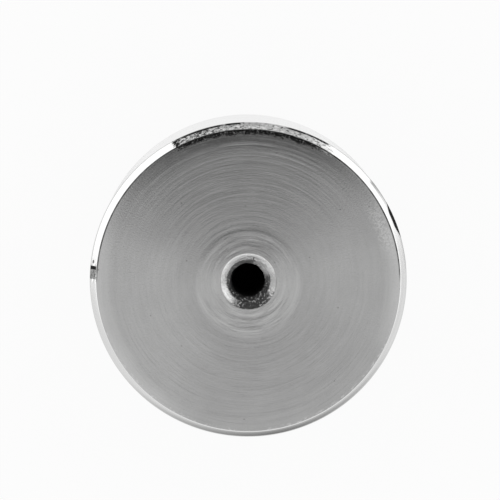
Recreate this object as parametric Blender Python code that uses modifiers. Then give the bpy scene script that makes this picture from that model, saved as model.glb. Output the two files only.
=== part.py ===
"""Round holding electromagnet: a turned steel pot with a centre pole and a coil potted inside it.

The magnet stands on its pole face. The origin is the centre of that face, +Z points at the back,
which has the tapped mounting hole, and the lead exit is on the -Y side. All sizes are in metres.
"""

import math

import bmesh
import bpy
from mathutils import Matrix, Vector

MM = 0.001

# Steel pot: one turned piece with its centre pole
POT_DIAMETER = 40.0 * MM
POT_HEIGHT = 20.0 * MM
POT_WALL = 3.0 * MM
POT_FLOOR = 5.0 * MM
POLE_DIAMETER = 18.0 * MM
BACK_CHAMFER = 0.8 * MM
EDGE_ROLL_WIDTH = 0.5 * MM
EDGE_ROLL_DROP = 0.06 * MM
POLE_FACE_CHAMFER = 0.4 * MM
MOUTH_CHAMFER = 0.25 * MM
CHAMBER_ROOT_RADIUS = 0.4 * MM

# M5 tapped blind hole in the back, drilled through the floor into the pole
TAP_DRILL_DIAMETER = 4.2 * MM
TAP_DRILL_DEPTH = 10.0 * MM
DRILL_POINT_ANGLE = math.radians(118)
COUNTERSINK_DIAMETER = 7.0 * MM
COUNTERSINK_ANGLE = math.radians(90)

# Lead exit through the side wall, and the bushing that lines it
LEAD_HOLE_DIAMETER = 4.4 * MM
LEAD_HOLE_DEBURR = 0.3 * MM
BUSHING_CLEARANCE = 0.05 * MM
BUSHING_RECESS = 0.2 * MM
BUSHING_EDGE_RADIUS = 0.2 * MM
COLLAR_LIP = 0.7 * MM
COLLAR_THICKNESS = 0.7 * MM
COLLAR_TO_FLOOR = 0.8 * MM
LEAD_BORE_DIAMETER = 1.6 * MM
LEAD_BORE_WEB = 0.35 * MM

# Moulded coil bobbin
BOBBIN_SET_BACK = 2.0 * MM
BOBBIN_FLOOR_GAP = 0.1 * MM
BOBBIN_BORE_CLEARANCE = 0.25 * MM
BOBBIN_TUBE_WALL = 0.75 * MM
BOBBIN_BORE_CHAMFER = 0.35 * MM
FLANGE_THICKNESS = 0.9 * MM
FLANGE_CLEARANCE = 0.8 * MM
FLANGE_RIM_RADIUS = 0.2 * MM
TUBE_ROOT_RADIUS = 0.25 * MM
WIRE_SLOT_WIDTH = 0.9 * MM
FINISH_NOTCH_DEPTH = 2.2 * MM

# Winding, its tape, and the sleeves over the joints of its two ends with the leads
WINDING_GAP = 0.06 * MM
WINDING_CORNER_RADIUS = 0.45 * MM
TAPE_THICKNESS = 0.22 * MM
TAPE_GAP = 0.05 * MM
TAPE_EDGE_MARGIN = 0.15 * MM
SLEEVE_DIAMETER = 1.5 * MM
SLEEVE_NECK_DIAMETER = 0.9 * MM
SLEEVE_LENGTH = 12.0 * MM
SLEEVE_FROM_COLLAR = 1.9 * MM
SLOT_FROM_SLEEVE = 3.5 * MM

# Potting resin
RESIN_GAP = 0.1 * MM
RESIN_CUT_GAP = 0.3 * MM
RESIN_RECESS = 0.1 * MM
SLEEVE_COVER = 0.3 * MM

# Facets
POT_SEGMENTS = 96
COIL_SEGMENTS = 64
SMALL_SEGMENTS = 32
SLEEVE_STEPS = 14
FILLET_STEPS = 3
SMOOTH_ANGLE = math.radians(30)
MERGE_DISTANCE = 0.001 * MM
OVERCUT = 1.0 * MM

# Sizes that follow from the ones above
POT_RADIUS = POT_DIAMETER / 2
POLE_RADIUS = POLE_DIAMETER / 2
CHAMBER_RADIUS = POT_RADIUS - POT_WALL
CHAMBER_TOP = POT_HEIGHT - POT_FLOOR
LEAD_HOLE_RADIUS = LEAD_HOLE_DIAMETER / 2
COLLAR_RADIUS = LEAD_HOLE_RADIUS + COLLAR_LIP
COLLAR_SEAT = math.sqrt(CHAMBER_RADIUS**2 - COLLAR_RADIUS**2) - RESIN_GAP
COLLAR_INNER = COLLAR_SEAT - COLLAR_THICKNESS
LEAD_HEIGHT = CHAMBER_TOP - COLLAR_TO_FLOOR - COLLAR_RADIUS
SLEEVE_RADIUS = SLEEVE_DIAMETER / 2
SLEEVE_LINE_RADIUS = CHAMBER_RADIUS - RESIN_GAP - SLEEVE_COVER - RESIN_CUT_GAP - SLEEVE_RADIUS
SLEEVE_START = (COLLAR_RADIUS + SLEEVE_FROM_COLLAR) / SLEEVE_LINE_RADIUS
SLEEVE_END = SLEEVE_START + SLEEVE_LENGTH / SLEEVE_LINE_RADIUS
WIRE_SLOT_ANGLE = SLEEVE_END + SLOT_FROM_SLEEVE / SLEEVE_LINE_RADIUS
TAPE_RADIUS = SLEEVE_LINE_RADIUS - SLEEVE_RADIUS - TAPE_GAP
WINDING_RADIUS = TAPE_RADIUS - TAPE_THICKNESS - TAPE_GAP
BORE_RADIUS = POLE_RADIUS + BOBBIN_BORE_CLEARANCE
TUBE_RADIUS = BORE_RADIUS + BOBBIN_TUBE_WALL
FLANGE_RADIUS = CHAMBER_RADIUS - FLANGE_CLEARANCE
BOBBIN_TOP = CHAMBER_TOP - BOBBIN_FLOOR_GAP
WINDOW_LOW = BOBBIN_SET_BACK + FLANGE_THICKNESS
WINDOW_HIGH = BOBBIN_TOP - FLANGE_THICKNESS


def clear_scene():
    for obj in list(bpy.data.objects):
        bpy.data.objects.remove(obj, do_unlink=True)


def collection(name):
    made = bpy.data.collections.new(name)
    bpy.context.scene.collection.children.link(made)
    return made


def material(name, colour, roughness, metallic):
    made = bpy.data.materials.new(name)
    made.use_nodes = True
    surface = made.node_tree.nodes["Principled BSDF"]
    surface.inputs["Base Color"].default_value = (*colour, 1.0)
    surface.inputs["Roughness"].default_value = roughness
    surface.inputs["Metallic"].default_value = metallic
    return made


def corner_arc(before, corner, after, radius):
    """Points of the round of that radius which replaces a corner between two straight runs."""
    to_before = (before - corner).normalized()
    to_after = (after - corner).normalized()
    half_angle = to_before.angle(to_after) / 2
    start = corner + to_before * radius / math.tan(half_angle)
    centre = corner + (to_before + to_after).normalized() * radius / math.sin(half_angle)
    turn = math.pi - 2 * half_angle
    if to_before.cross(to_after) > 0:
        turn = -turn
    step = turn / FILLET_STEPS
    return [centre + Matrix.Rotation(step * i, 2) @ (start - centre) for i in range(FILLET_STEPS + 1)]


def profile_points(corners):
    """Points of a profile whose corners are (radius, height) or (radius, height, fillet)."""
    points = []
    for i, corner in enumerate(corners):
        here = Vector(corner[:2])
        if len(corner) == 2:
            points.append(here)
            continue
        before = Vector(corners[i - 1][:2])
        after = Vector(corners[(i + 1) % len(corners)][:2])
        points.extend(corner_arc(before, here, after, corner[2]))
    return points


def turned(name, corners, segments, owner):
    """Body of revolution about +Z. Its profile runs down the outer side, from the axis or as a loop."""
    points = profile_points(corners)
    edges = [(i, i + 1) for i in range(len(points) - 1)]
    on_axis = points[0].x == 0 and points[-1].x == 0
    if not on_axis:
        edges.append((len(points) - 1, 0))
    mesh = bpy.data.meshes.new(name)
    mesh.from_pydata([(p.x, 0, p.y) for p in points], edges, [])
    obj = bpy.data.objects.new(name, mesh)
    owner.objects.link(obj)
    screw = obj.modifiers.new("Turned", "SCREW")
    screw.axis = "Z"
    screw.angle = 2 * math.pi
    screw.steps = screw.render_steps = segments
    screw.use_merge_vertices = True
    screw.merge_threshold = MERGE_DISTANCE
    return obj


def plug(name, radius, near, far, owner):
    """Cylinder about +Z between two distances from the origin, to cut a round hole."""
    return turned(name, [(0, far), (radius, far), (radius, near), (0, near)], SMALL_SEGMENTS, owner)


def arc_tube(name, radius, start, end, owner, neck=0.0):
    """Tube on the line that the sleeves follow round the coil, drawn in to the neck's radius at its ends."""
    curve = bpy.data.curves.new(name, "CURVE")
    curve.dimensions = "3D"
    curve.bevel_depth = radius
    curve.bevel_resolution = 2
    curve.use_fill_caps = True
    spline = curve.splines.new("POLY")
    spline.points.add(SLEEVE_STEPS)
    for i, point in enumerate(spline.points):
        angle = start + (end - start) * i / SLEEVE_STEPS
        from_end = min(i, SLEEVE_STEPS - i)
        narrowing = (1 - neck / radius) * 0.35**from_end if neck else 0
        x = SLEEVE_LINE_RADIUS * math.sin(angle)
        y = -SLEEVE_LINE_RADIUS * math.cos(angle)
        point.co = (x, y, LEAD_HEIGHT, 1)
        point.radius = 1 - narrowing
    obj = bpy.data.objects.new(name, curve)
    owner.objects.link(obj)
    return obj


def as_mesh(obj):
    """The curve object made again as one closed mesh."""
    name = obj.name
    owner = obj.users_collection[0]
    graph = bpy.context.evaluated_depsgraph_get()
    mesh = bpy.data.meshes.new_from_object(obj.evaluated_get(graph))
    shape = bmesh.new()
    shape.from_mesh(mesh)
    bmesh.ops.remove_doubles(shape, verts=shape.verts, dist=MERGE_DISTANCE)
    shape.to_mesh(mesh)
    shape.free()
    matrix = obj.matrix_world.copy()
    bpy.data.objects.remove(obj)
    made = bpy.data.objects.new(name, mesh)
    made.matrix_world = matrix
    owner.objects.link(made)
    return made


def box(name, width, near, far, low, high, angle, owner):
    """Box that cuts a radial slot between two radii and two heights, at an angle round from -Y."""
    bpy.ops.mesh.primitive_cube_add(size=1)
    obj = bpy.context.object
    obj.name = name
    obj.scale = (width, far - near, high - low)
    middle = Vector((0, -(near + far) / 2, (low + high) / 2))
    obj.location = Matrix.Rotation(angle, 3, "Z") @ middle
    obj.rotation_euler = (0, 0, angle)
    for old in obj.users_collection:
        old.objects.unlink(obj)
    owner.objects.link(obj)
    return obj


def along_lead(obj, offset=0.0):
    """Turns a piece made about +Z to the lead exit's axis, which points along -Y at the lead height."""
    obj.rotation_euler = (math.pi / 2, 0, 0)
    obj.location = (offset, 0, LEAD_HEIGHT)
    return obj


def cut(obj, tool):
    tool.hide_render = True
    tool.display_type = "WIRE"
    boolean = obj.modifiers.new("Cut " + tool.name, "BOOLEAN")
    boolean.operation = "DIFFERENCE"
    boolean.solver = "EXACT"
    boolean.object = tool


def pot_profile():
    """From the point of the tapped hole over the back, down the side and up round the coil chamber."""
    drill_radius = TAP_DRILL_DIAMETER / 2
    drill_shoulder = POT_HEIGHT - TAP_DRILL_DEPTH
    drill_point = drill_shoulder - drill_radius / math.tan(DRILL_POINT_ANGLE / 2)
    countersink_radius = COUNTERSINK_DIAMETER / 2
    countersink_depth = (countersink_radius - drill_radius) / math.tan(COUNTERSINK_ANGLE / 2)
    face_radius = POT_RADIUS - BACK_CHAMFER
    return [
        (0, drill_point),
        (drill_radius, drill_shoulder),
        (drill_radius, POT_HEIGHT - countersink_depth),
        (countersink_radius, POT_HEIGHT),
        (face_radius - EDGE_ROLL_WIDTH, POT_HEIGHT),
        (face_radius - EDGE_ROLL_WIDTH / 2, POT_HEIGHT - EDGE_ROLL_DROP / 4),
        (face_radius, POT_HEIGHT - EDGE_ROLL_DROP),
        (POT_RADIUS, POT_HEIGHT - BACK_CHAMFER),
        (POT_RADIUS, POLE_FACE_CHAMFER),
        (POT_RADIUS - POLE_FACE_CHAMFER, 0),
        (CHAMBER_RADIUS + MOUTH_CHAMFER, 0),
        (CHAMBER_RADIUS, MOUTH_CHAMFER),
        (CHAMBER_RADIUS, CHAMBER_TOP, CHAMBER_ROOT_RADIUS),
        (POLE_RADIUS, CHAMBER_TOP, CHAMBER_ROOT_RADIUS),
        (POLE_RADIUS, MOUTH_CHAMFER),
        (POLE_RADIUS - MOUTH_CHAMFER, 0),
        (0, 0),
    ]


def lead_drill(owner):
    """Drill for the lead exit, with the flare that breaks the hole's outer edge."""
    far = POT_RADIUS + OVERCUT
    flare_start = POT_RADIUS - LEAD_HOLE_DEBURR
    flare_radius = LEAD_HOLE_RADIUS + far - flare_start
    near = CHAMBER_RADIUS - OVERCUT
    corners = [
        (0, far),
        (flare_radius, far),
        (LEAD_HOLE_RADIUS, flare_start),
        (LEAD_HOLE_RADIUS, near),
        (0, near),
    ]
    return along_lead(turned("lead_drill", corners, SMALL_SEGMENTS, owner))


def make_pot(parts, cutters):
    pot = turned("magnet_pot", pot_profile(), POT_SEGMENTS, parts)
    cut(pot, lead_drill(cutters))
    return pot


def bobbin_profile():
    """Outer flange faces, rims and the winding window, then back along the chamfered bore."""
    return [
        (BORE_RADIUS + BOBBIN_BORE_CHAMFER, BOBBIN_TOP),
        (FLANGE_RADIUS, BOBBIN_TOP, FLANGE_RIM_RADIUS),
        (FLANGE_RADIUS, WINDOW_HIGH, FLANGE_RIM_RADIUS),
        (TUBE_RADIUS, WINDOW_HIGH, TUBE_ROOT_RADIUS),
        (TUBE_RADIUS, WINDOW_LOW, TUBE_ROOT_RADIUS),
        (FLANGE_RADIUS, WINDOW_LOW, FLANGE_RIM_RADIUS),
        (FLANGE_RADIUS, BOBBIN_SET_BACK, FLANGE_RIM_RADIUS),
        (BORE_RADIUS + BOBBIN_BORE_CHAMFER, BOBBIN_SET_BACK),
        (BORE_RADIUS, BOBBIN_SET_BACK + BOBBIN_BORE_CHAMFER),
        (BORE_RADIUS, BOBBIN_TOP - BOBBIN_BORE_CHAMFER),
    ]


def make_bobbin(parts, cutters):
    """Spool whose rear flange has the start slot, the finish notch and a flat to pass the collar."""
    bobbin = turned("coil_bobbin", bobbin_profile(), COIL_SEGMENTS, parts)
    low = WINDOW_HIGH - FLANGE_THICKNESS / 2
    high = BOBBIN_TOP + OVERCUT
    far = FLANGE_RADIUS + OVERCUT
    flat_width = 2 * (COLLAR_RADIUS + RESIN_CUT_GAP)
    cuts = (
        ("start_slot", WIRE_SLOT_WIDTH, TUBE_RADIUS + TUBE_ROOT_RADIUS, WIRE_SLOT_ANGLE),
        ("finish_notch", WIRE_SLOT_WIDTH, FLANGE_RADIUS - FINISH_NOTCH_DEPTH, -WIRE_SLOT_ANGLE),
        ("collar_flat", flat_width, COLLAR_INNER - RESIN_CUT_GAP, 0),
    )
    for name, width, near, angle in cuts:
        cut(bobbin, box(name, width, near, far, low, high, angle, cutters))
    return bobbin


def make_winding(parts):
    inner = TUBE_RADIUS + WINDING_GAP
    low = WINDOW_LOW + WINDING_GAP
    high = WINDOW_HIGH - WINDING_GAP
    root = TUBE_ROOT_RADIUS + WINDING_GAP
    corners = [
        (inner, high, root),
        (WINDING_RADIUS, high, WINDING_CORNER_RADIUS),
        (WINDING_RADIUS, low, WINDING_CORNER_RADIUS),
        (inner, low, root),
    ]
    return turned("coil_winding", corners, COIL_SEGMENTS, parts)


def make_tape(parts):
    inner = WINDING_RADIUS + TAPE_GAP
    low = WINDOW_LOW + TAPE_EDGE_MARGIN
    high = WINDOW_HIGH - TAPE_EDGE_MARGIN
    corners = [(inner, high), (TAPE_RADIUS, high), (TAPE_RADIUS, low), (inner, low)]
    return turned("winding_tape", corners, COIL_SEGMENTS, parts)


def make_sleeve(name, side, parts):
    """Shrunk sleeve that lies on the tape, with its narrow ends on the lead and on the wire."""
    neck = SLEEVE_NECK_DIAMETER / 2
    return as_mesh(arc_tube(name, SLEEVE_RADIUS, side * SLEEVE_START, side * SLEEVE_END, parts, neck))


def make_bushing(parts, cutters):
    """Bush that is put in from the chamber, so that its collar stops it, with a bore for each lead."""
    tube_radius = LEAD_HOLE_RADIUS - BUSHING_CLEARANCE
    outer_end = POT_RADIUS - BUSHING_RECESS
    corners = [
        (0, outer_end),
        (tube_radius, outer_end, BUSHING_EDGE_RADIUS),
        (tube_radius, COLLAR_SEAT),
        (COLLAR_RADIUS, COLLAR_SEAT),
        (COLLAR_RADIUS, COLLAR_INNER, BUSHING_EDGE_RADIUS),
        (0, COLLAR_INNER),
    ]
    bushing = along_lead(turned("lead_bushing", corners, SMALL_SEGMENTS, parts))
    offset = (LEAD_BORE_DIAMETER + LEAD_BORE_WEB) / 2
    for name, side in (("lead_bore_left", -1), ("lead_bore_right", 1)):
        bore = plug(name, LEAD_BORE_DIAMETER / 2, COLLAR_INNER - OVERCUT, outer_end + OVERCUT, cutters)
        cut(bushing, along_lead(bore, side * offset))
    return bushing


def resin_profile():
    """Plug that closes the mouth, and the skirt that ran up past the flanges round the taped winding."""
    inner = POLE_RADIUS + RESIN_GAP
    outer = CHAMBER_RADIUS - RESIN_GAP
    top = CHAMBER_TOP - RESIN_GAP
    past_flange = FLANGE_RADIUS + RESIN_GAP
    round_tape = TAPE_RADIUS + RESIN_GAP
    plug_top = BOBBIN_SET_BACK - RESIN_GAP
    return [
        (past_flange, top),
        (outer, top, CHAMBER_ROOT_RADIUS),
        (outer, RESIN_RECESS),
        (inner, RESIN_RECESS),
        (inner, plug_top),
        (past_flange, plug_top),
        (past_flange, WINDOW_LOW + RESIN_GAP),
        (round_tape, WINDOW_LOW + RESIN_GAP),
        (round_tape, WINDOW_HIGH - RESIN_GAP),
        (past_flange, WINDOW_HIGH - RESIN_GAP),
    ]


def make_resin(parts, cutters):
    """Cast ring with the hollows that the collar, the leads and the two sleeves leave in it."""
    resin = turned("potting_resin", resin_profile(), COIL_SEGMENTS, parts)
    collar_room = plug("collar_room", COLLAR_RADIUS + RESIN_CUT_GAP, WINDING_RADIUS, POT_RADIUS, cutters)
    cut(resin, along_lead(collar_room))
    overlap = RESIN_CUT_GAP / SLEEVE_LINE_RADIUS
    lead_channel = arc_tube("lead_channel", LEAD_BORE_DIAMETER / 2, -SLEEVE_START, SLEEVE_START, cutters)
    cut(resin, as_mesh(lead_channel))
    for name, side in (("start_sleeve_room", 1), ("finish_sleeve_room", -1)):
        start = side * (SLEEVE_START - overlap)
        end = side * (SLEEVE_END + overlap)
        cut(resin, as_mesh(arc_tube(name, SLEEVE_RADIUS + RESIN_CUT_GAP, start, end, cutters)))
    return resin


def finish(obj, surface):
    """Gives a piece its material, smooth round faces and sharp edges."""
    graph = bpy.context.evaluated_depsgraph_get()
    mesh = bpy.data.meshes.new_from_object(obj.evaluated_get(graph))
    obj.modifiers.clear()
    obj.data = mesh
    mesh.name = obj.name
    mesh.materials.clear()
    mesh.materials.append(surface)
    mesh.shade_smooth()
    mesh.set_sharp_from_angle(angle=SMOOTH_ANGLE)


def main():
    clear_scene()
    parts = collection("holding_electromagnet")
    cutters = collection("cutters")
    nickel = material("nickel_plated_steel", (0.56, 0.55, 0.53), 0.32, 1.0)
    nylon = material("natural_nylon", (0.80, 0.78, 0.70), 0.5, 0.0)
    enamel = material("enamelled_copper", (0.55, 0.20, 0.08), 0.35, 0.8)
    polyester = material("polyester_tape", (0.75, 0.62, 0.12), 0.25, 0.0)
    shrink = material("shrunk_sleeve", (0.03, 0.03, 0.03), 0.55, 0.0)
    rubber = material("bushing_rubber", (0.04, 0.04, 0.04), 0.6, 0.0)
    epoxy = material("black_epoxy", (0.02, 0.02, 0.022), 0.3, 0.0)
    pieces = (
        (make_pot(parts, cutters), nickel),
        (make_bobbin(parts, cutters), nylon),
        (make_winding(parts), enamel),
        (make_tape(parts), polyester),
        (make_sleeve("start_splice_sleeve", 1, parts), shrink),
        (make_sleeve("finish_splice_sleeve", -1, parts), shrink),
        (make_bushing(parts, cutters), rubber),
        (make_resin(parts, cutters), epoxy),
    )
    axis = bpy.data.objects.new("electromagnet_axis", None)
    parts.objects.link(axis)
    bpy.context.view_layer.update()
    for piece, surface in pieces:
        finish(piece, surface)
        piece.parent = axis


main()
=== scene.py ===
"""Looks of a round holding electromagnet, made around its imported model.

The magnet stands on its pole face. The photograph looks down on its back, with +Y at the top of the
picture and +X at the right. Sizes are in metres and turns in radians, unless a comment says otherwise.
"""

import math

import bmesh
import bpy
import numpy as np
from bpy.props import FloatProperty, FloatVectorProperty, PointerProperty
from mathutils import Matrix, Vector


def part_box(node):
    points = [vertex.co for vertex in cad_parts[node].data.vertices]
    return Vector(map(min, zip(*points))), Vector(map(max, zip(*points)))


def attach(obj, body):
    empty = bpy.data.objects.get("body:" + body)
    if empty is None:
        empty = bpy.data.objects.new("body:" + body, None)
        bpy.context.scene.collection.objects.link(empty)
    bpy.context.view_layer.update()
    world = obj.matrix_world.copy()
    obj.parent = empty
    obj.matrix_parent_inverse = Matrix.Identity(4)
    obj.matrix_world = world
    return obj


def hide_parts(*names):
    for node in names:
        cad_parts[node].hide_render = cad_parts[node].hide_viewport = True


bl_info = {
    "name": "Holding electromagnet",
    "version": (1, 0, 0),
    "blender": (4, 5, 0),
    "location": "3D View > Sidebar > Magnet",
    "description": "Builds the turned pot, its potting, its bushing, the coil's finishes and a studio stage",
    "category": "Object",
}

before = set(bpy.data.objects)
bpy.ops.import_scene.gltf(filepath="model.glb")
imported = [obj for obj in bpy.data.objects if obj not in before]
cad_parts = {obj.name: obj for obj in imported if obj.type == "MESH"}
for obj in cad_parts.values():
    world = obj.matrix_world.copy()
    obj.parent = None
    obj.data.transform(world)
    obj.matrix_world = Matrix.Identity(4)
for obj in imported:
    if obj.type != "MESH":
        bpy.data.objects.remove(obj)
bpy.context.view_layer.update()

MM = 0.001
MICRON = 0.000001
_, POT_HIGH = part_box("magnet_pot")
POT_RADIUS = POT_HIGH.x
POT_HEIGHT = POT_HIGH.z
RESIN_LOW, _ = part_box("potting_resin")
BUSH_LOW, BUSH_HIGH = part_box("lead_bushing")
LEAD_HEIGHT = (BUSH_LOW.z + BUSH_HIGH.z) / 2

# Facets round the turned and poured pieces
FACE_SEGMENTS = 240
EDGE_SEGMENTS = 720
BORE_SEGMENTS = 120
POUR_SEGMENTS = 384
SHARP_ANGLE = math.radians(28)

# The tapped hole, and the widening of its countersink for each unit of depth
HOLE_DEPTH = 10.0 * MM
UNTAPPED_DEPTH = 2.2 * MM
DRILL_POINT = math.radians(59)
ROWS_PER_TURN = 14
CONE_FLARE = 1.14

# Room above the back for the marks of the tool, and the step down round its middle
FACE_ROOM = 8 * MICRON
FACE_STEP = 9 * MICRON

# Arcs that the facing tool left: width in rings, and height beside the others
TOOL_ARCS = ((1, 1.1), (2, 1.0), (3, 1.0))

# Grooves round the hole: radius in millimetres and depth in microns
GROOVES = ((4.75, 4.0), (5.2, 3.0))

# Short grooves: radius in millimetres, first and last degree from +X, and depth in microns
SHORT_GROOVES = (
    (17.2, 79, 101, 7.0),
    (16.1, 60, 80, 4.0),
    (16.7, 58, 74, 5.0),
    (17.3, 60, 76, 5.0),
    (17.9, 62, 88, 5.0),
    (18.3, 94, 112, 6.0),
    (15.2, 72, 95, 3.0),
    (14.1, 84, 108, 2.5),
    (12.9, 110, 136, 3.5),
    (13.5, 120, 142, 3.0),
    (11.9, 104, 126, 3.0),
)

# The back's edge: rows of its strip and its chamfer, degrees of the rings in the round between them,
# and inset and fall in millimetres of the rings at the chamfer's foot
STRIP_ROWS = 7
CHAMFER_ROWS = 8
ROUND_TURNS = (12, 23, 34)
FOOT_RINGS = ((0.05, 0.0), (0.024, 0.035), (0.008, 0.085))

# What the pot's zones are finished with, in the order of its material slots
TURNED_FACE, PLATED_WALL, CUT_THREAD, POLE_FINISH = range(4)

# Colour of the dark marks, as a share of the plating's colour, and their roughness. The marks are partly
# torn and scuffed metal, and partly painted shade and a painted dark reflection.
MARK_SHADE = 0.025
MARK_ROUGHNESS = 0.5

# Degrees that one unit of the rings' noise spans, which is about a radian
NOISE_UNIT = 57.0

# Pitch of the winding's turns, in millimetres
WIRE_PITCH = 0.26

# The resin's poured surface, between the pole and the wall
POUR_INNER = 8.88 * MM
POUR_OUTER = 17.12 * MM
POUR_ROWS = 64
BUBBLES = 11

# Point of the back that the camera looks at
AIM = (0.196 * MM, 3.974 * MM, 0.0)


def metres(name, about, default, least, **more):
    return FloatProperty(name=name, description=about, default=default, min=least, unit="LENGTH", **more)


def paint(name, about, default):
    limits = {"size": 3, "min": 0.0, "max": 1.0}
    return FloatVectorProperty(name=name, description=about, default=default, subtype="COLOR", **limits)


def camera_angle(name, about, degrees):
    return FloatProperty(name=name, description=about, default=math.radians(degrees), subtype="ANGLE")


def light_level(name, about, default):
    return FloatProperty(name=name, description=about, default=default, min=0.0)


class PotSizes(bpy.types.PropertyGroup):
    """Sizes of the turned pot"""

    pot_wall: metres("Wall", "Thickness of the ring round the coil", 3.0 * MM, 1.0 * MM)
    pot_floor: metres("Floor", "Thickness of the steel behind the coil", 5.0 * MM, 1.0 * MM)
    pole_diameter: metres("Pole diameter", "Diameter of the centre pole", 18.0 * MM, 8.0 * MM)
    back_chamfer: metres(
        "Back chamfer", "Width of the chamfer between the back and the side", 0.86 * MM, 0.2 * MM
    )
    edge_roll: metres(
        "Edge roll", "Width of the strip that falls away before the chamfer", 0.4 * MM, 0.1 * MM
    )
    edge_round: metres("Edge round", "Radius between the back and its chamfer", 0.12 * MM, 0.05 * MM)
    countersink: metres("Countersink", "Diameter of the countersink at the back", 7.0 * MM, 5.2 * MM)
    thread_diameter: metres("Thread", "Outer diameter of the tapped thread", 5.0 * MM, 3.0 * MM)
    thread_pitch: metres("Pitch", "Pitch of the tapped thread", 0.8 * MM, 0.5 * MM)
    tap_drill: metres("Tap drill", "Diameter of the hole that was drilled for the tap", 4.2 * MM, 2.5 * MM)
    groove_pitch: metres(
        "Groove pitch", "Distance between the rings that the facing tool left", 0.13 * MM, 0.12 * MM
    )
    groove_height: metres("Groove height", "Height of those rings", 0.65 * MICRON, 0.0, precision=7)


class Finishes(bpy.types.PropertyGroup):
    """Colours of the pieces"""

    nickel: paint("Nickel plating", "Colour of the plated steel", (0.7, 0.7, 0.697))
    resin: paint("Potting resin", "Colour of the cast resin", (0.018, 0.018, 0.02))
    rubber: paint("Bushing rubber", "Colour of the bushing in the lead exit", (0.035, 0.035, 0.036))
    nylon: paint("Bobbin nylon", "Colour of the moulded bobbin", (0.78, 0.74, 0.62))
    enamel: paint("Wire enamel", "Colour of the enamelled copper wire", (0.62, 0.24, 0.09))
    tape: paint("Winding tape", "Colour of the film tape round the winding", (0.76, 0.6, 0.1))
    sleeve: paint("Splice sleeves", "Colour of the shrunk tube", (0.03, 0.03, 0.03))


class StageSettings(bpy.types.PropertyGroup):
    """Camera and light"""

    camera_distance: metres(
        "Camera distance", "Distance of the camera from the middle of the back", 0.2983, 0.1
    )
    camera_tilt: camera_angle("Camera tilt", "Angle of the camera from the magnet's axis, towards +Y", 6.94)
    camera_side: camera_angle("Camera side", "Angle of the camera from the magnet's axis, towards +X", -0.71)
    lens: FloatProperty(name="Lens", description="Focal length on a 36 mm sensor", default=170.8, min=20.0)
    sky_level: light_level("Sky", "Level of the soft light from all round", 1.1)
    horizon_level: light_level("Horizon", "Level of the low light at both sides", 1.7)
    overhead_level: light_level("Overhead", "Level of the light from straight above", 0.53)
    flag_level: light_level("Behind camera", "Level of the dark round patch behind the camera", 0.12)
    dim_level: light_level("Far horizon", "Level of the low light on the +Y side", 0.62)


class Graph:
    """A node tree being put together: each call adds nodes and gives back the last one's output."""

    def __init__(self, tree):
        self.tree = tree

    def fill(self, made, inputs):
        """Links or sets a node's inputs, each by its name or number."""
        for socket, value in dict(inputs).items():
            if isinstance(value, bpy.types.NodeSocket):
                self.tree.links.new(value, made.inputs[socket])
            else:
                made.inputs[socket].default_value = value

    def node(self, kind, inputs=(), **settings):
        """Adds a node and gives back the node itself."""
        made = self.tree.nodes.new(kind)
        for name, value in settings.items():
            setattr(made, name, value)
        self.fill(made, inputs)
        return made

    def math(self, operation, *values):
        return self.node("ShaderNodeMath", enumerate(values), operation=operation).outputs[0]

    def chain(self, operation, values):
        total = values[0]
        for value in values[1:]:
            total = self.math(operation, total, value)
        return total

    def times(self, *values):
        return self.chain("MULTIPLY", values)

    def plus(self, *values):
        return self.chain("ADD", values)

    def most(self, *values):
        return self.chain("MAXIMUM", values)

    def less(self, value, taken):
        return self.math("SUBTRACT", value, taken)

    def scaled(self, value, factor, added):
        return self.math("MULTIPLY_ADD", value, factor, added)

    def smooth(self, value, low, high, start=0.0, end=1.0, kind="SMOOTHSTEP"):
        """Eases from start to end while the value goes from low to high."""
        inputs = {"Value": value, "From Min": low, "From Max": high, "To Min": start, "To Max": end}
        return self.node("ShaderNodeMapRange", inputs, interpolation_type=kind).outputs["Result"]

    def linear(self, value, low, high, start=0.0, end=1.0):
        return self.smooth(value, low, high, start, end, kind="LINEAR")

    def between(self, share, start, end):
        """Goes evenly from start to end with the share."""
        return self.linear(share, 0.0, 1.0, start, end)

    def spread(self, noise, start, end):
        """Goes evenly from start to end over the values that noise mostly has."""
        return self.linear(noise, 0.3, 0.7, start, end)

    def window(self, value, low, high, soft):
        """1 between low and high, and 0 outside, with soft edges of that width."""
        rise = self.smooth(value, low - soft / 2, low + soft / 2)
        fall = self.smooth(value, high - soft / 2, high + soft / 2, 1.0, 0.0)
        return self.times(rise, fall)

    def noise(self, vector, scale, detail=2.0, roughness=0.5):
        inputs = {"Vector": vector, "Scale": scale, "Detail": detail, "Roughness": roughness}
        return self.node("ShaderNodeTexNoise", inputs).outputs["Fac"]

    def apart(self, vector):
        return self.node("ShaderNodeSeparateXYZ", {0: vector}).outputs

    def mix(self, share, first, second):
        """Mixes two colours."""
        return self.node("ShaderNodeMix", {0: share, 6: first, 7: second}, data_type="RGBA").outputs[2]

    def bump(self, height, distance, **inputs):
        return self.node("ShaderNodeBump", {"Height": height, "Distance": distance, **inputs}).outputs[0]


def shade(colour, factor):
    """A colour made darker or lighter, as four numbers."""
    return (*(min(1.0, part * factor) for part in colour), 1.0)


def new_material(name):
    made = bpy.data.materials.new(name)
    made.use_nodes = True
    graph = Graph(made.node_tree)
    return made, graph, made.node_tree.nodes["Principled BSDF"]


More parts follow.
